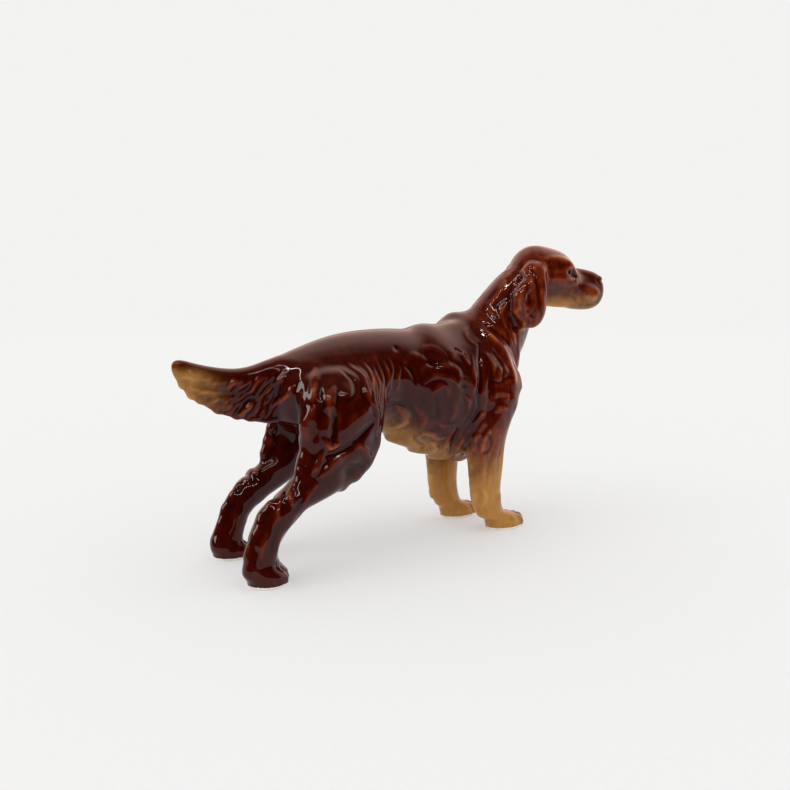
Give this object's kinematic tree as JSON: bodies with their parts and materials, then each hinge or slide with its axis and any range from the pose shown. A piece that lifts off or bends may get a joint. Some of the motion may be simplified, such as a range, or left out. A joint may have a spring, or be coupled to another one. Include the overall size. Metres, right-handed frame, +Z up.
{
  "type": "porcelain dog figurine",
  "caption": "Glazed porcelain figurine of a long-haired setter standing square, head raised and turned a little, feathered tail held level.",
  "frame": {"origin": "on the ground, under the middle of the figure's box", "axes": "+X the way the dog faces, +Y towards its left, +Z up"},
  "size_m": [0.212, 0.0538, 0.128],
  "materials": {
    "brown_glaze": "deep chestnut-red glossy glaze, thinner and more amber on the ridges of the modelled coat",
    "tan_glaze": "ochre glossy glaze on the lower forelegs that deepens to chestnut at the elbows",
    "bare_porcelain": "unglazed off-white porcelain, matt"
  },
  "bodies": {
    "root": {"body": "brown_glaze", "head": "brown_glaze", "left_ear": "brown_glaze", "right_ear": "brown_glaze", "tail": "brown_glaze", "left_fore_leg": "tan_glaze", "right_fore_leg": "tan_glaze", "left_hind_leg": "brown_glaze", "right_hind_leg": "brown_glaze", "left_fore_sole": "bare_porcelain", "right_fore_sole": "bare_porcelain", "left_hind_sole": "bare_porcelain", "right_hind_sole": "bare_porcelain"}
  },
  "joints": []
}
